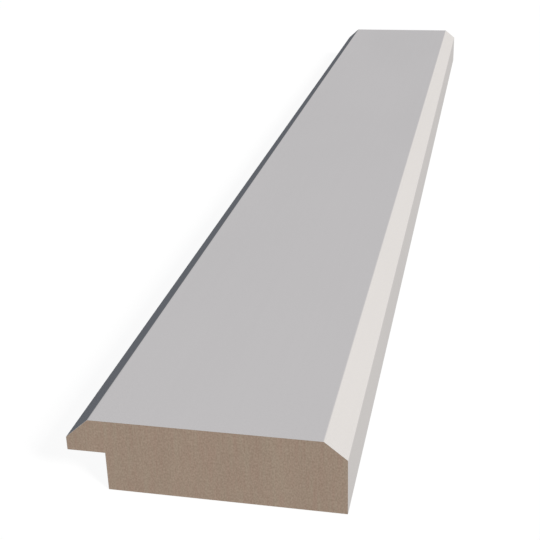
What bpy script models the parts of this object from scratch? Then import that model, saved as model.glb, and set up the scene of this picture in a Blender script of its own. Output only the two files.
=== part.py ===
"""A length of chair rail: the moulding that caps wall panelling at chair height.

The rail is one stick of MDF, machined to a section and primed, and it lies on its
back as it would on a bench. X runs across its width, with the lip that covers the
panelling on the -X side. Y runs along its length, and Z out from the wall. The
origin is at the middle of the length and of the overall width, in the plane of the
back. All sizes are in metres.
"""

from math import radians

import bmesh
import bpy

# The length, sawn square at both ends, and the overall width
RAIL_LENGTH = 0.460
RAIL_WIDTH = 0.064

# The panelling, whose top edge goes into the rebate behind the lip
PANEL_THICKNESS = 0.009
PANEL_CLEARANCE = 0.00075

# The lip: how far it covers the panelling, and the upright edge that it ends in
LIP_REACH = 0.009
LIP_NOSE_HEIGHT = 0.00335

# The sloping face along each side: its width across the rail, and its fall
LIP_SLOPE_WIDTH = 0.0055
LIP_SLOPE_FALL = 0.0049
EDGE_SLOPE_WIDTH = 0.0052
EDGE_SLOPE_FALL = 0.0042

# The light easing that a moulder leaves on each lengthwise corner
ARRIS_EASING = 0.00015
ARRIS_SEGMENTS = 3
SMOOTH_SHADING_ANGLE = radians(30)

# Tolerances of the mesh work
WELD_DISTANCE = 0.000001
SAME_PLANE_ANGLE = radians(1)
STRAIGHT_COSINE = 0.999

PRIMER = {"color": (0.745, 0.728, 0.712, 1.0), "roughness": 0.75}
BARE_MDF = {"color": (0.50, 0.38, 0.29, 1.0), "roughness": 0.9}


def clear_scene():
    for obj in list(bpy.data.objects):
        bpy.data.objects.remove(obj, do_unlink=True)


def rail_collection():
    collection = bpy.data.collections.new("chair_rail")
    bpy.context.scene.collection.children.link(collection)
    return collection


def make_material(name, color, roughness):
    material = bpy.data.materials.new(name)
    material.use_nodes = True
    shader = material.node_tree.nodes["Principled BSDF"]
    shader.inputs["Base Color"].default_value = color
    shader.inputs["Roughness"].default_value = roughness
    shader.inputs["Metallic"].default_value = 0.0
    return material


def section_corners():
    """The corners of the section, as (across, out from the wall), with the solid on the left."""
    lip_side = -RAIL_WIDTH / 2
    plain_side = RAIL_WIDTH / 2
    shoulder = lip_side + LIP_REACH
    rebate_depth = PANEL_THICKNESS + PANEL_CLEARANCE
    nose_top = rebate_depth + LIP_NOSE_HEIGHT
    front = nose_top + LIP_SLOPE_FALL
    return [
        (shoulder, 0.0),
        (plain_side, 0.0),
        (plain_side, front - EDGE_SLOPE_FALL),
        (plain_side - EDGE_SLOPE_WIDTH, front),
        (lip_side + LIP_SLOPE_WIDTH, front),
        (lip_side, nose_top),
        (lip_side, rebate_depth),
        (shoulder, rebate_depth),
    ]


def extruded_section(name, corners, length):
    """A filled flat curve, drawn in its own XY plane and stood up to run along world Y."""
    outline = bpy.data.curves.new(name + "_section", "CURVE")
    outline.dimensions = "2D"
    outline.fill_mode = "BOTH"
    outline.extrude = length / 2
    spline = outline.splines.new("POLY")
    spline.points.add(len(corners) - 1)
    for point, (across, out) in zip(spline.points, corners):
        point.co = (across, out, 0.0, 1.0)
    spline.use_cyclic_u = True
    guide = bpy.data.objects.new(name + "_section", outline)
    guide.rotation_euler = (radians(90), 0.0, 0.0)
    return guide


def solid_from_curve(name, guide, collection):
    """The curve as one closed mesh, with its caps welded on and each cap a single face."""
    collection.objects.link(guide)
    bpy.context.view_layer.update()
    graph = bpy.context.evaluated_depsgraph_get()
    mesh = bpy.data.meshes.new_from_object(guide.evaluated_get(graph))
    mesh.name = name
    solid = bpy.data.objects.new(name, mesh)
    solid.matrix_world = guide.matrix_world
    collection.objects.link(solid)
    bpy.data.objects.remove(guide, do_unlink=True)

    body = bmesh.new()
    body.from_mesh(mesh)
    bmesh.ops.remove_doubles(body, verts=body.verts, dist=WELD_DISTANCE)
    bmesh.ops.dissolve_limit(body, angle_limit=SAME_PLANE_ANGLE, verts=body.verts, edges=body.edges)
    bmesh.ops.recalc_face_normals(body, faces=body.faces)
    body.to_mesh(mesh)
    body.free()
    return solid


def ease_arrises(solid):
    """Rounds each outer corner that runs along the rail. The rebate's inner corner stays square."""
    body = bmesh.new()
    body.from_mesh(solid.data)
    weight = body.edges.layers.float.new("bevel_weight_edge")
    for edge in body.edges:
        start, end = edge.verts
        along = (end.co - start.co).normalized()
        if abs(along.z) > STRAIGHT_COSINE and edge.is_convex:
            edge[weight] = 1.0
    body.to_mesh(solid.data)
    body.free()
    solid.data.shade_smooth()
    solid.data.set_sharp_from_angle(angle=SMOOTH_SHADING_ANGLE)

    easing = solid.modifiers.new("eased_arrises", "BEVEL")
    easing.limit_method = "WEIGHT"
    easing.offset_type = "OFFSET"
    easing.width = ARRIS_EASING
    easing.segments = ARRIS_SEGMENTS


def finish_faces(solid):
    """Primer on the long faces, and bare MDF on the back and where the stick is sawn to length."""
    solid.data.materials.clear()
    solid.data.materials.append(make_material("primer", **PRIMER))
    solid.data.materials.append(make_material("bare_mdf", **BARE_MDF))
    primer_slot, mdf_slot = 0, 1
    # In the curve's own axes Y points out from the wall, and Z along the rail
    for face in solid.data.polygons:
        sawn_end = abs(face.normal.z) > STRAIGHT_COSINE
        against_wall = abs(face.center.y) < WELD_DISTANCE
        face.material_index = mdf_slot if sawn_end or against_wall else primer_slot


def build_chair_rail(collection):
    guide = extruded_section("chair_rail", section_corners(), RAIL_LENGTH)
    rail = solid_from_curve("chair_rail", guide, collection)
    finish_faces(rail)
    ease_arrises(rail)
    return rail


clear_scene()
build_chair_rail(rail_collection())
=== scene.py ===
# %% [markdown]
# A length of chair rail
#
# A chair rail runs round a room at the height of a chair back. This one also caps wall panelling:
# along one side it has a lip, with a rebate behind it that takes the edge of the panels. The real rail
# is a strip of MDF board. A moulder runs it past shaped cutters, a machine sprays it with primer, and
# a saw cuts it to length, which lays the brown board bare at both ends. We could draw all of it here,
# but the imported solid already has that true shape, so we load it first and fit the rest to it. We also
# note its box, because the finished rail must not come out bigger than the solid.

# %% Load the solid
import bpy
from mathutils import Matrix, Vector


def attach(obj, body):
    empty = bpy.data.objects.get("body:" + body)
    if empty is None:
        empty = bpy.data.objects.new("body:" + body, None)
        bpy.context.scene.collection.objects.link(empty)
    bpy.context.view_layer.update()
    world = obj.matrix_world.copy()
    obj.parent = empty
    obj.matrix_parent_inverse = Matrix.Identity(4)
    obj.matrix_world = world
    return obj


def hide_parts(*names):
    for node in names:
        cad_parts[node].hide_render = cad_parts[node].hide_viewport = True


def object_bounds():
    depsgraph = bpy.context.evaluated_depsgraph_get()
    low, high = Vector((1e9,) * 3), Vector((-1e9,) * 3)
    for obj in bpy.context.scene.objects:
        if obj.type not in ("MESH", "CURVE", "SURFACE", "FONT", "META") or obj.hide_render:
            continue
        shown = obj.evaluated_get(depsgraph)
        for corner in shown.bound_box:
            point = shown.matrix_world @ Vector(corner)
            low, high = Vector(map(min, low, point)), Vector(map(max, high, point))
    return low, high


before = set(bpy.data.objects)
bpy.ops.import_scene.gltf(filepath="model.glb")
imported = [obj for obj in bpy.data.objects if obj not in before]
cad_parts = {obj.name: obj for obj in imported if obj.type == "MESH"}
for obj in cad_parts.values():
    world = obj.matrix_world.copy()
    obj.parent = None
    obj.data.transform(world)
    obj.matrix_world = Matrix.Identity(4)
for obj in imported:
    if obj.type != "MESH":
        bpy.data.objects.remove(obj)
solid_low, solid_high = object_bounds()
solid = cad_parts["chair_rail"]
MM = 0.001
print("solid, in mm:", [round(side / MM, 2) for side in solid_high - solid_low])

# %% [markdown]
# The section
#
# Each long edge of a moulding is the track of one corner of its section, so the section is the whole
# drawing. We could type its sizes in again, but then they could drift from the solid. Instead we read
# the outline off the solid's near end. The triangles there share their inner sides in pairs, and the
# sides that are left over, followed from point to point, are the outline.

# %% Read the outline of the near end
from mathutils import Vector

SAME_PLACE = 0.005 * MM
DECIMALS_KEPT = 6


def end_outline(mesh, end_y):
    """The outline of the end at end_y, as points (across, up) in order, with the solid on their left."""
    sides = set()
    for face in mesh.polygons:
        corners = [mesh.vertices[index].co for index in face.vertices]
        if any(abs(corner.y - end_y) > SAME_PLACE for corner in corners):
            continue
        places = [(round(corner.x, DECIMALS_KEPT), round(corner.z, DECIMALS_KEPT)) for corner in corners]
        for side in zip(places, places[1:] + places[:1]):
            if side[::-1] in sides:
                sides.remove(side[::-1])
            else:
                sides.add(side)
    following = dict(sides)
    outline = [min(following)]
    while following[outline[-1]] != outline[0]:
        outline.append(following[outline[-1]])
    return [Vector(place) for place in outline]


solid_outline = end_outline(solid.data, solid_low.y)
print("points round the solid's end:", len(solid_outline))

# %% [markdown]
# Flat faces and eased arrises
#
# The outline has long sides, which are the rail's flat faces, and short ones, which are the eased
# arrises between them. The solid rounds each arris in three steps, which shows as facets close up. So
# we keep the flat faces, find the corner where each two of them would meet, and draw a smooth round
# there. The corner inside the rebate stays square, as the cutter leaves it.

# %% Sort out the flat faces
SHORTEST_FLAT = 1.0 * MM


def flat_faces(outline):
    """The outline's long sides, each as its two end points."""
    sides = zip(outline, outline[1:] + outline[:1])
    return [side for side in sides if (side[1] - side[0]).length > SHORTEST_FLAT]


def corner_between(flat, next_flat):
    """The point where two flat faces would meet if nothing were eased."""
    along = flat[1] - flat[0]
    next_along = next_flat[1] - next_flat[0]
    share = (next_flat[0] - flat[0]).cross(next_along) / along.cross(next_along)
    return flat[0] + along * share


flats = flat_faces(solid_outline)
print("flat faces, in mm:", [round((end - start).length / MM, 2) for start, end in flats])

# %% [markdown]
# Points all round the section
#
# The section could do with a point at each corner, but the sawn ends will be filled with a fine net of
# triangles, and a net lies well only if the points on its border are about as close together as those
# inside. So we walk round the section and set points at even steps along each flat face. Each arris
# gets a short curve with two handles, which reach a little over half way to the corner. That makes it
# nearly a true arc.

# %% Walk round the section
from math import ceil
from mathutils.geometry import interpolate_bezier

NET_STEP = 0.30 * MM
ARRIS_POINTS = 6
ROUND_HANDLE = 0.55


def even_steps(start, end):
    """Points from start to just short of end, in even steps no longer than the net's."""
    count = ceil((end - start).length / NET_STEP)
    return [start.lerp(end, step / count) for step in range(count)]


def eased_arris(end, corner, start):
    """Points that round the corner, from one flat face's end to just short of the next one's start."""
    handles = end.lerp(corner, ROUND_HANDLE), start.lerp(corner, ROUND_HANDLE)
    arc = interpolate_bezier(end, *handles, start, ARRIS_POINTS + 1)
    return [point.to_2d() for point in arc[:-1]]


section = []
for flat, next_flat in zip(flats, flats[1:] + flats[:1]):
    section += even_steps(*flat)
    if (next_flat[0] - flat[1]).length > SAME_PLACE:
        section += eased_arris(flat[1], corner_between(flat, next_flat), next_flat[0])
print("points round the finished section:", len(section))

# %% [markdown]
# Just inside the outline
#
# Seen on the sawn end, the primer is a pale line over the top and down the sides of the brown board,
# thinner than a sheet of paper. The saw also leaves the very edge a little broken. Both need copies of
# the outline a little further in. Scaling it down would move some sides further than others, so this
# helper moves every point along the line that halves its corner.

# %% Draw the outline in
PRIMER_FILM = 0.03 * MM
SAWN_ARRIS = 0.01 * MM


def drawn_in(outline, depth):
    """The outline moved inwards by depth all the way round."""
    moved = []
    for before, point, after in zip(outline[-1:] + outline, outline, outline[1:] + outline[:1]):
        arriving, leaving = (point - before).normalized(), (after - point).normalized()
        inwards = arriving.orthogonal() + leaving.orthogonal()
        moved.append(point + inwards * (depth / (1 + arriving.dot(leaving))))
    return moved


film_edge = drawn_in(section, SAWN_ARRIS)
board_edge = drawn_in(section, SAWN_ARRIS + PRIMER_FILM)
widest = max(point.x for point in board_edge) - min(point.x for point in board_edge)
print("bare board at the sawn end, across, in mm:", round(widest / MM, 2))

# %% [markdown]
# Points inside the outline
#
# A sawn surface is flat to the hand but not to the light, and to give it real relief we need points
# inside the outline too. A square grid would meet the slopes in a ragged line. So we lay the points in
# staggered rows, as a honeycomb is laid, and drop those that come too near the outline.

# %% Lay the points in staggered rows
from mathutils.kdtree import KDTree

EVEN_TRIANGLE_HEIGHT = 0.866
ROW_HEIGHT = EVEN_TRIANGLE_HEIGHT * NET_STEP
NEAREST_TO_EDGE = 0.6 * NET_STEP


def staggered_rows(outline):
    """Points in staggered rows inside the outline, none of them too near it."""
    edge = KDTree(len(outline))
    for index, point in enumerate(outline):
        edge.insert(point.to_3d(), index)
    edge.balance()
    sides = list(zip(outline, outline[1:] + outline[:1]))
    points = []
    for row in range(1, int(solid_high.z / ROW_HEIGHT)):
        up = row * ROW_HEIGHT
        crossed = [side for side in sides if (side[0].y > up) != (side[1].y > up)]
        left, right = sorted(a.x + (b.x - a.x) * (up - a.y) / (b.y - a.y) for a, b in crossed)
        shift = row % 2 / 2
        for step in range(ceil(left / NET_STEP - shift), ceil(right / NET_STEP - shift)):
            point = Vector(((step + shift) * NET_STEP, up))
            if edge.find(point.to_3d())[2] > NEAREST_TO_EDGE:
                points.append(point)
    return points


inner_points = staggered_rows(board_edge)
print("points inside the outline:", len(inner_points))

# %% [markdown]
# A net for the sawn end
#
# Next the points are joined into triangles. We could join each row to the next in a loop, but the rows
# break off unevenly at the slopes and the rebate. Blender can join any set of points inside a border,
# and makes the most even triangles that they allow.

# %% Join the points into a net
from mathutils.geometry import delaunay_2d_cdt

TRIANGLES_INSIDE_ONLY = 1

around = len(section)
net_points, _, net_triangles, *_ = delaunay_2d_cdt(
    board_edge + inner_points, [], [list(range(around))], TRIANGLES_INSIDE_ONLY, SAME_PLACE)
print("net of each sawn end:", len(net_points), "points,", len(net_triangles), "triangles")

# %% [markdown]
# What the saw leaves
#
# The rail is pushed past a blade much larger than itself. Every tooth leaves the same shallow arc, a
# little further on each time, so the marks stand nearly upright and are not evenly deep. Between them
# the fibres break just above or just below the cut. A bump in the material alone would leave the mesh
# itself flat, so the marks and the fibres are real relief here, a few thousandths of a millimetre deep.
# The noise is Blender's own and is the same each time, so nothing has to be seeded.

# %% Cut the relief of the sawn ends
from mathutils import noise

BLADE_RADIUS = 125 * MM
BLADE_CENTRE_HEIGHT = -10 * MM
TOOTH_MARK_SPACING = 1.3 * MM
TOOTH_MARK_DEPTH = 0.004 * MM
FIBRE_TUFT = 0.7 * MM
FIBRE_DEPTH = 0.004 * MM
NEAR_END, FAR_END = 0, 1


def saw_relief(point, which_end):
    """How far the sawn face lies in at that point. The two ends have different patterns."""
    above_centre = point.y - BLADE_CENTRE_HEIGHT
    along_feed = point.x + (BLADE_RADIUS ** 2 - above_centre ** 2) ** 0.5
    tooth_marks = noise.noise((along_feed / TOOTH_MARK_SPACING, which_end, point.y / BLADE_RADIUS))
    tufts = noise.noise((point.x / FIBRE_TUFT, which_end, point.y / FIBRE_TUFT))
    return (TOOTH_MARK_DEPTH * (1 + tooth_marks) + FIBRE_DEPTH * (1 + tufts)) / 2


depths = [saw_relief(point, NEAR_END) for point in inner_points]
print("relief of a sawn end, in mm:", round(min(depths) / MM, 4), "to", round(max(depths) / MM, 4))

# %% [markdown]
# One closed skin
#
# The rail is one stick, so it is one closed mesh. The section is repeated along the length as a row of
# rings, and each end closes over the broken edge, the primer's thickness and the net. Sweeping a curve
# would be shorter to write, but it caps its ends with one flat face each, and the sawn ends are what
# shows most.

# %% Set out the rings
SPAN = 30 * MM


def ring(outline, along):
    """The outline's points in space, at a place along the rail."""
    return [(point.x, along, point.y) for point in outline]


first_y, last_y = solid_low.y + SAWN_ARRIS, solid_high.y - SAWN_ARRIS
spans = ceil((last_y - first_y) / SPAN)
rings = [ring(board_edge, solid_low.y), ring(film_edge, solid_low.y)]
rings += [ring(section, first_y + (last_y - first_y) * step / spans) for step in range(spans + 1)]
rings += [ring(film_edge, solid_high.y), ring(board_edge, solid_high.y)]
near_net = [(point.x, solid_low.y + saw_relief(point, NEAR_END), point.y) for point in inner_points]
far_net = [(point.x, solid_high.y - saw_relief(point, FAR_END), point.y) for point in inner_points]
vertices = sum(rings, []) + near_net + far_net
print("rings:", len(rings), "and", len(vertices), "points in all")

# %% [markdown]
# Faces and their finishes
#
# The rail has four finishes: primer on the board's own face, primer on the sides that the cutters have
# opened, bare board where it is sawn, and bare sanded board on the back. Picking the faces out once the
# mesh is made would mean measuring each one. Here we know where a face lies as we make it, so it gets
# its finish at once.

# %% Join the rings
def strip_finish(here, there, on_end):
    """The finish of the strip of rail between two neighbouring points of the section."""
    if max(here.y, there.y) < SAME_PLACE:
        return "sawn_board" if on_end else "sanded_back"
    if min(here.y, there.y) > solid_high.z - SAME_PLACE:
        # The face gets the primer whose darker tone is painted shade
        return "primer_on_face_with_painted_shade"
    return "primer_on_cut_sides"


faces = []
face_finishes = []
last_ring = len(rings) - 1
for lower in range(last_ring):
    start, above = lower * around, (lower + 1) * around
    on_end = lower in (0, last_ring - 1)
    for place in range(around):
        beside = (place + 1) % around
        faces.append((start + place, above + place, above + beside, start + beside))
        face_finishes.append(strip_finish(section[place], section[beside], on_end))
print("faces between the rings:", len(faces))

# %% [markdown]
# Closing the ends
#
# The net was laid out once, as the near end shows it. The far end could have a net of its own, but the
# section is the same there. So it takes the same triangles, turned over so that they face outwards.

# %% Close the ends
AS_DRAWN, TURNED_OVER = 1, -1


def net_on_end(first_edge, first_inner, turn):
    """The net's triangles on an end whose edge and inner points start at those places in the list."""
    edge = range(first_edge, first_edge + around)
    inner = range(first_inner, first_inner + len(inner_points))
    points = [*edge, *inner]
    return [tuple(points[corner] for corner in corners)[::turn] for corners in net_triangles]


first_of_near_net = len(rings) * around
first_of_far_net = first_of_near_net + len(near_net)
sawn_faces = net_on_end(0, first_of_near_net, AS_DRAWN)
sawn_faces += net_on_end(last_ring * around, first_of_far_net, TURNED_OVER)
faces += sawn_faces
face_finishes += ["sawn_board"] * len(sawn_faces)
print("faces on the two sawn ends:", len(sawn_faces))

# %% [markdown]
# The mesh
#
# Blender can build a mesh point by point and face by face, which suits shapes that change as they
# grow. Ours is finished, as a list of points and a list of faces, so it is handed over in one go. The
# list of finishes goes with it, as the number of each face's material.

# %% Make the mesh
import bpy

FINISHES = ["primer_on_face_with_painted_shade", "primer_on_cut_sides", "sawn_board", "sanded_back"]

rail_mesh = bpy.data.meshes.new("finished_chair_rail")
rail_mesh.from_pydata(vertices, [], faces)
rail_mesh.polygons.foreach_set("material_index", [FINISHES.index(name) for name in face_finishes])
rail = bpy.data.objects.new("finished_chair_rail", rail_mesh)
bpy.context.collection.objects.link(rail)
rail_mesh.calc_loop_triangles()
print("finished rail:", len(rail_mesh.loop_triangles), "triangles")

# %% [markdown]
# Shading and standing in for the solid
#
# Smooth shading makes one surface of the small faces on the rounds and the sawn ends, but by itself it
# would also smear the light round every corner. So any edge sharper than thirty degrees stays crisp,
# which keeps the square corner in the rebate and the turn from the long faces to the sawn ends. The
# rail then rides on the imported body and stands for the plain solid, which stays in use for collisions.

# %% Shade it and give it its place
from math import radians

SHARP_EDGE = radians(30)

rail_mesh.shade_smooth()
rail_mesh.set_sharp_from_angle(angle=SHARP_EDGE)
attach(rail, "root")
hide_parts("chair_rail")
print("sharp edges:", sum(edge.use_edge_sharp for edge in rail_mesh.edges))

# %% [markdown]
# How a finish is mixed
#
# No painted or sawn surface is one even colour. Each finish here starts from one tone and drifts a
# little to either side of it in patches, and the size and direction of the patches say what made them.
# A painted image could carry the patches, but it blurs close up, so Blender's noise texture makes them.
# It is measured in metres from the rail's own origin. So a size below is a real size on the rail, and
# the finish stays put however the rail is turned.

# %% Make patches of a real size
def add_node(tree, kind, sockets, **settings):
    """A node whose sockets are each filled with a plain value or with what another node gives."""
    node = tree.nodes.new(kind)
    for name, value in settings.items():
        setattr(node, name, value)
    for name, value in sockets.items():
        if isinstance(value, bpy.types.NodeSocket):
            tree.links.new(value, node.inputs[name])
        else:
            node.inputs[name].default_value = value
    return node


def patches(tree, across, along, up, detail=1.0):
    """Noise from 0 to 1, in patches about as long as given in each direction of the rail."""
    place = add_node(tree, "ShaderNodeTexCoord", {}).outputs["Object"]
    scale = (1 / across, 1 / along, 1 / up)
    scaled = add_node(tree, "ShaderNodeMapping", {"Vector": place, "Scale": scale}).outputs["Vector"]
    sockets = {"Vector": scaled, "Scale": 1.0, "Detail": detail}
    return add_node(tree, "ShaderNodeTexNoise", sockets).outputs[0]


print("patches can be made")

# %% [markdown]
# Shifting a tone
#
# Blender's noise seldom comes near 0 or 1, so used as it is, it would hardly show. A colour ramp could
# stretch it, but Map Range takes its two limits as plain numbers. The tone is then multiplied, by a
# little less than 1 where the noise is low and by a little more where it is high. Each colour has its
# own share, because tufts of fibre differ in hue as well as in lightness.

# %% Shift a tone with the patches
NOISE_LOW, NOISE_HIGH = 0.3, 0.7
WHOLE_TONE = (1.0, 1.0, 1.0)


def spread(tree, noise_value, low, high):
    """The middle part of a noise, where nearly all of it lies, stretched to run from low to high."""
    sockets = {"Value": noise_value, "From Min": NOISE_LOW, "From Max": NOISE_HIGH,
               "To Min": low, "To Max": high}
    return add_node(tree, "ShaderNodeMapRange", sockets).outputs["Result"]


def drift(tree, tone, shares, noise_value):
    """The tone, darker where the noise is low and lighter where it is high, by up to those shares."""
    swing = {0: spread(tree, noise_value, -1.0, 1.0), 1: shares, 2: WHOLE_TONE}
    factor = add_node(tree, "ShaderNodeVectorMath", swing, operation="MULTIPLY_ADD").outputs[0]
    return add_node(tree, "ShaderNodeVectorMath", {0: tone, 1: factor}, operation="MULTIPLY").outputs[0]


print("the noise counts from", NOISE_LOW, "to", NOISE_HIGH)

# %% [markdown]
# Mixing two tones
#
# Board that a saw tooth has rubbed, and primer on the edge of the bare back, are tones of their own. We
# could work out the shift that leads to each, but it is plainer to name both tones and let a Mix node
# go from one to the other. Its sockets for colours share their names with those for plain numbers, so
# we pick them by their place.

# %% Mix two tones
# The places of the sockets that a Mix node uses for colours
MIX_SHARE, MIX_FIRST, MIX_SECOND, MIX_RESULT = 0, 6, 7, 2


def blend(tree, share, tone, other_tone):
    """The tone where the share is 0, the other one where it is 1, and a mixture in between."""
    sockets = {MIX_SHARE: share, MIX_FIRST: tone, MIX_SECOND: other_tone}
    return add_node(tree, "ShaderNodeMix", sockets, data_type="RGBA").outputs[MIX_RESULT]


print("two tones can be mixed")

# %% [markdown]
# Starting a finish
#
# Every finish ends in Blender's one general shader. What is the same all over the surface could come
# from nodes too, but it is set on the shader's own sockets as a plain value, which is simpler and is
# never lost on export. Nothing here is metal, and both primer and bare board reflect less than bare
# plastic would, so the specular level is low.

# %% Start a finish
def new_finish(name, specular_level):
    """A material with only its shader and output, and how it takes a highlight. Returns its parts."""
    material = bpy.data.materials.new(name)
    material.use_nodes = True
    shader = material.node_tree.nodes["Principled BSDF"]
    shader.inputs["Metallic"].default_value = 0.0
    shader.inputs["Specular IOR Level"].default_value = specular_level
    return material, material.node_tree, shader


def set_surface(tree, shader, color, roughness, height, depth):
    """Feeds the shader its colour, its roughness, and a fine height of up to depth metres."""
    bump = add_node(tree, "ShaderNodeBump", {"Height": height, "Distance": depth})
    tree.links.new(color, shader.inputs["Base Color"])
    tree.links.new(roughness, shader.inputs["Roughness"])
    tree.links.new(bump.outputs["Normal"], shader.inputs["Normal"])


print("a finish can be started")

# %% [markdown]
# Primer
#
# The primer is a warm off-white, sprayed on as the rail runs through the machine, so it flows a little
# along the length before it dries. It ends up matt, with a fine stipple. On the face it lies on the
# board's own sanded skin, where it is smoothest. The face's primer is also mixed a shade darker and
# cooler than the sides'. That is painted shade: a darker copy of the same primer that stands in for the
# face taking less light. The sides are cut through that skin into looser fibre, which drinks some of
# the first coat and leaves the stipple deeper.
# One primer for the whole rail would be simpler, but it would lose that, so one recipe is mixed twice.

# %% Set out the primer's patches
CLOUDS = dict(across=30 * MM, along=70 * MM, up=30 * MM)
CLOUD_DRIFT = (0.005, 0.005, 0.005)
FLOW = dict(across=1.5 * MM, along=120 * MM, up=1.5 * MM)
FLOW_DRIFT = (0.003, 0.003, 0.003)
DUST = dict(across=0.6 * MM, along=0.6 * MM, up=0.6 * MM)
DUST_DRIFT = (0.006, 0.006, 0.006)
STIPPLE = dict(across=0.9 * MM, along=1.3 * MM, up=0.9 * MM, detail=2.0)
print("the primer's flow marks, in mm:", round(FLOW["along"] / MM), "long")

# %% Mix the primer
# The face's tone is painted shade: a darker, cooler copy of the sides' primer
FACE_PRIMER_AND_PAINTED_SHADE = (0.692, 0.682, 0.689)
SIDE_PRIMER = (0.745, 0.728, 0.712)
FACE_STIPPLE_DEPTH = 0.003 * MM
SIDE_STIPPLE_DEPTH = 0.006 * MM
PRIMER_SPECULAR = 0.15
PRIMER_ROUGHNESS = (0.72, 0.80)


def primer(name, tone, stipple_depth):
    """Primer of that tone, with soft clouds, marks of flow, fine dust, and a stipple of that depth."""
    material, tree, shader = new_finish(name, PRIMER_SPECULAR)
    clouds = patches(tree, **CLOUDS)
    color = drift(tree, tone, CLOUD_DRIFT, clouds)
    color = drift(tree, color, FLOW_DRIFT, patches(tree, **FLOW))
    color = drift(tree, color, DUST_DRIFT, patches(tree, **DUST))
    roughness = spread(tree, clouds, *PRIMER_ROUGHNESS)
    set_surface(tree, shader, color, roughness, patches(tree, **STIPPLE), stipple_depth)
    return material


# The face's primer is the sides' primer with painted shade in its darker tone
primer_on_face_with_painted_shade = primer("primer_on_face_with_painted_shade", FACE_PRIMER_AND_PAINTED_SHADE, FACE_STIPPLE_DEPTH)
primer_on_cut_sides = primer("primer_on_cut_sides", SIDE_PRIMER, SIDE_STIPPLE_DEPTH)
print("primer mixed:", primer_on_face_with_painted_shade.name, "and", primer_on_cut_sides.name)

# %% [markdown]
# Sawn board
#
# MDF is wood cooked and blown apart into fibres, then pressed with glue. So a cut through it shows no
# grain, and a wood texture with rings would be wrong. It shows a fine mottle of lighter and darker
# tufts, a third to half a millimetre across. The saw adds faint upright streaks, where a tooth has
# rubbed the glue darker and redder, and broad, soft bands where the rail was fed unevenly. The colour
# drifts follow those causes one by one.

# %% Set out the marks of the sawn board
TUFTS = dict(across=0.34 * MM, along=0.35 * MM, up=0.50 * MM, detail=1.5)
TUFT_DRIFT = (0.126, 0.139, 0.152)
TUFT_DEPTH = 0.006 * MM
STREAKS = dict(across=0.8 * MM, along=0.9 * MM, up=7 * MM, detail=2.0)
BANDS = dict(across=6 * MM, along=6 * MM, up=45 * MM)
BAND_DRIFT = (0.022, 0.022, 0.022)
print("tufts, in mm:", round(TUFTS["across"] / MM, 2), "across and", round(TUFTS["up"] / MM, 2), "up")

# %% Mix the sawn board
BOARD = (0.500, 0.398, 0.303)
RUBBED_BOARD = (0.495, 0.367, 0.282)
BOARD_SPECULAR = 0.15
SAWN_ROUGHNESS = (0.82, 0.95)


def sawn_board():
    """Bare board as the saw leaves it, with rubbed streaks, a fine mottle and broad bands."""
    material, tree, shader = new_finish("sawn_board", BOARD_SPECULAR)
    tufts = patches(tree, **TUFTS)
    rubbed = spread(tree, patches(tree, **STREAKS), 0.0, 1.0)
    color = blend(tree, rubbed, (*BOARD, 1.0), (*RUBBED_BOARD, 1.0))
    color = drift(tree, color, TUFT_DRIFT, tufts)
    color = drift(tree, color, BAND_DRIFT, patches(tree, **BANDS))
    set_surface(tree, shader, color, spread(tree, tufts, *SAWN_ROUGHNESS), tufts, TUFT_DEPTH)
    return material


sawn = sawn_board()
print("board mixed:", sawn.name)

# %% [markdown]
# Primer along the edges of the back
#
# The back is glued to the wall, so it is left bare. But the spray reaches round the two lower arrises,
# so a ragged line of primer a millimetre or so wide runs along each edge. It could be cut into the mesh
# as faces of its own, but a ragged line is easier to mix: we measure how far a point lies from the
# middle of the back, add some noise, and call it sprayed past a certain distance.

# %% Find where the spray has reached
OVERSPRAY_REACH = 1.2 * MM
OVERSPRAY_RAGGED = 0.8 * MM
RAGS = dict(across=3 * MM, along=3 * MM, up=3 * MM, detail=3.0)


def reckon(tree, operation, *values):
    """The result of one sum, worked out at every point from numbers or from what other nodes give."""
    return add_node(tree, "ShaderNodeMath", dict(enumerate(values)), operation=operation).outputs[0]


def overspray(tree, left, right):
    """1 where the spray has reached, along both edges of the back, and 0 between them."""
    place = add_node(tree, "ShaderNodeTexCoord", {}).outputs["Object"]
    across = add_node(tree, "ShaderNodeSeparateXYZ", {"Vector": place}).outputs["X"]
    from_middle = reckon(tree, "ABSOLUTE", reckon(tree, "SUBTRACT", across, (right + left) / 2))
    ragged = spread(tree, patches(tree, **RAGS), 0.0, OVERSPRAY_RAGGED)
    reach = reckon(tree, "ADD", from_middle, ragged)
    bare_to = (right - left) / 2 - OVERSPRAY_REACH
    sockets = {"Value": reach, "From Min": bare_to, "From Max": bare_to + OVERSPRAY_RAGGED}
    return add_node(tree, "ShaderNodeMapRange", sockets).outputs["Result"]


back_edges = [point.x for flat in flats for point in flat if point.y < SAME_PLACE]
print("flat of the back, across, in mm:", round((max(back_edges) - min(back_edges)) / MM, 2))

# %% [markdown]
# Sanded back
#
# The back is the board's own face, pressed dense and then sanded. The sawn board's finish would be too
# coarse for it, so it has one of its own, with a fainter mottle and fine scratches along the length.

# %% Mix the sanded back
SANDED_BOARD = (0.500, 0.392, 0.290)
SANDED_ROUGHNESS = (0.72, 0.82)
SANDED_TUFTS = dict(across=0.35 * MM, along=0.7 * MM, up=0.35 * MM)
SANDED_TUFT_DRIFT = (0.06, 0.065, 0.07)
SCRATCHES = dict(across=0.25 * MM, along=25 * MM, up=0.25 * MM)
SCRATCH_DRIFT = (0.03, 0.03, 0.03)
SCRATCH_DEPTH = 0.002 * MM


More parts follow.
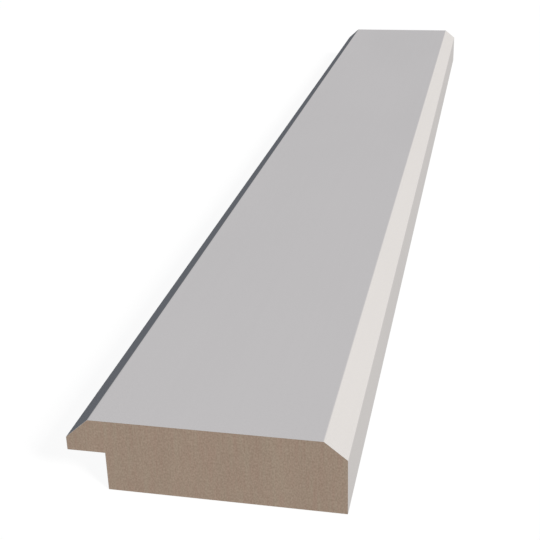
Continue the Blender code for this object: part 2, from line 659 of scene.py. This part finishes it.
def sanded_back():
    """Bare board as the sander leaves it, faintly mottled and scratched, with primer along its edges."""
    material, tree, shader = new_finish("sanded_back", BOARD_SPECULAR)
    tufts = patches(tree, **SANDED_TUFTS)
    scratches = patches(tree, **SCRATCHES)
    color = drift(tree, SANDED_BOARD, SANDED_TUFT_DRIFT, tufts)
    color = drift(tree, color, SCRATCH_DRIFT, scratches)
    color = blend(tree, overspray(tree, min(back_edges), max(back_edges)), color, (*SIDE_PRIMER, 1.0))
    set_surface(tree, shader, color, spread(tree, tufts, *SANDED_ROUGHNESS), scratches, SCRATCH_DEPTH)
    return material


back = sanded_back()
# In the order of FINISHES
for finish in (primer_on_face_with_painted_shade, primer_on_cut_sides, sawn, back):
    rail_mesh.materials.append(finish)
print("finishes on the rail:", [material.name for material in rail_mesh.materials])

# %% [markdown]
# Floor and backdrop
#
# A catalogue picture has nothing round the object but white. The floor takes a soft shadow, which says
# that the rail lies on something, and it glows by itself so that the shadow stays pale. A studio would
# bend a sheet of paper up behind the rail, but that ends somewhere. A large dome closes the view in
# every direction. Neither of them throws light back on the rail, which would fill in the shaded sides
# that show its shape.

# %% Make the stage's materials
STAGE_SPECULAR = 0.0
STAGE_ROUGHNESS = 1.0
WHITE = (1.0, 1.0, 1.0)


def stage_material(name, tone, glow):
    """A matt grey of that tone, which also glows white by itself."""
    material, _, shader = new_finish(name, STAGE_SPECULAR)
    shader.inputs["Roughness"].default_value = STAGE_ROUGHNESS
    shader.inputs["Base Color"].default_value = (tone, tone, tone, 1.0)
    shader.inputs["Emission Color"].default_value = (*WHITE, 1.0)
    shader.inputs["Emission Strength"].default_value = glow
    material.cycles.emission_sampling = "NONE"
    return material


pale_floor = stage_material("pale_floor", tone=0.10, glow=0.935)
white_dome = stage_material("white_dome", tone=0.0, glow=1.0)
print("stage materials:", pale_floor.name, "and", white_dome.name)

# %% Lay the floor and raise the dome
STAGE_RADIUS = 3.0
FLOOR_GAP = 0.1 * MM
FLOOR_SIDES = 96
DOME_SEGMENTS = 64
DOME_RINGS = 32


def set_on_stage(piece, material):
    """Gives a stage piece its material, and keeps its light off the rail."""
    piece.data.materials.append(material)
    piece.visible_diffuse = False
    piece.visible_glossy = False
    piece.visible_transmission = False


bpy.ops.mesh.primitive_circle_add(vertices=FLOOR_SIDES, radius=STAGE_RADIUS, fill_type="NGON",
                                  location=(0, 0, solid_low.z - FLOOR_GAP))
floor = bpy.context.object
floor.name = "floor"
set_on_stage(floor, pale_floor)
bpy.ops.mesh.primitive_uv_sphere_add(segments=DOME_SEGMENTS, ring_count=DOME_RINGS, radius=STAGE_RADIUS)
dome = bpy.context.object
dome.name = "dome"
dome.visible_shadow = False
set_on_stage(dome, white_dome)
print("stage:", floor.name, "and", dome.name)

# %% [markdown]
# Light
#
# In the picture the narrow slope on the right is nearly white, the face is light grey and the slope on
# the left is dark. So the main light is slightly warm, stands on the right and in front, a third of the
# way up, and all but misses the slope on the left. A lamp close by would light one end of the rail more
# than the other, so each lamp is a sun, which lights a whole face evenly. It is some degrees wide, like
# a large soft box, so its shadow has no hard edge. A weak, cool lamp on the left gives the dark slope
# its blue grey. It stands high, so the lip shades the rebate under it and the rebate is plain to see,
# and a little behind, so it leaves the near sawn end alone. A low lamp behind the rail lights the far
# end for other views, and gives no glints, which would make the far half of the face look wet.

# %% Hang the lamps
from math import cos, sin

WARM_WHITE = (1.0, 0.966, 0.929)
COOL_WHITE = (0.89, 0.944, 1.0)


def hang_lamp(name, azimuth, elevation, width, strength, color, glints=True):
    """A soft lamp far away. Azimuth 0 faces the near end and 90 the right-hand side, in degrees."""
    turned, raised = radians(azimuth), radians(elevation)
    towards = Vector((sin(turned) * cos(raised), -cos(turned) * cos(raised), sin(raised)))
    light = bpy.data.lights.new(name, "SUN")
    light.energy = strength
    light.color = color
    light.angle = radians(width)
    lamp = bpy.data.objects.new(name, light)
    lamp.rotation_euler = towards.to_track_quat("Z", "Y").to_euler()
    lamp.visible_glossy = glints
    bpy.context.collection.objects.link(lamp)
    print("lamp:", name, "at", azimuth, "and", elevation, "degrees")


hang_lamp("main_light", azimuth=52.5, elevation=33.4, width=12, strength=3.53, color=WARM_WHITE)
hang_lamp("left_fill", azimuth=255, elevation=45, width=16, strength=0.262, color=COOL_WHITE)
hang_lamp("far_end_fill", azimuth=180, elevation=3, width=6, strength=1.4, color=WHITE, glints=False)

# %% [markdown]
# The light all round
#
# More lamps could fill the darkest corners, but each would cast a shadow of its own. Instead the world
# adds a little bluish grey light from every side. Blender's usual view softens bright tones and would
# grey the white floor, so the picture is shown in the plain Standard view.

# %% Set the world and the picture's tones
AMBIENT = (0.060, 0.070, 0.091, 1.0)

world = bpy.data.worlds.new("dim_room")
world.use_nodes = True
world.node_tree.nodes["Background"].inputs["Color"].default_value = AMBIENT
bpy.context.scene.world = world
bpy.context.scene.view_settings.view_transform = "Standard"
print("world:", world.name)

# %% [markdown]
# Camera
#
# The picture is taken from in front of the near end, from close by and a little above, which makes the
# near end broad and the far end narrow. A camera set by eye would come close, but the edges would not
# quite lie on those of the picture. So the place, direction and lens below come from all the corners
# and edges of the rail in the picture at once, at its real size. The camera leans a little clockwise.
# The lens and the sensor are in millimetres, as Blender gives them.

# %% Set up the camera
from mathutils import Quaternion

CAMERA_PLACE = Vector((57.91, -416.00, 139.81)) * MM
AIMED_AT = Vector((-3.45, -142.23, 18.00)) * MM
LEAN = radians(-1.719)
LENS = 69.59
SENSOR_WIDTH = 36
VIEW_AXIS = Vector((0, 0, 1))

camera_data = bpy.data.cameras.new("camera")
camera_data.sensor_width = SENSOR_WIDTH
camera_data.lens = LENS
camera = bpy.data.objects.new("camera", camera_data)
camera.location = CAMERA_PLACE
camera.rotation_mode = "QUATERNION"
straight = (AIMED_AT - CAMERA_PLACE).to_track_quat("-Z", "Y")
camera.rotation_quaternion = straight @ Quaternion(VIEW_AXIS, LEAN)
bpy.context.collection.objects.link(camera)
bpy.context.scene.camera = camera
print("camera, in mm:", round((solid_low.y - CAMERA_PLACE.y) / MM), "in front of the near end and",
      round((CAMERA_PLACE.z - solid_high.z) / MM), "above the face")
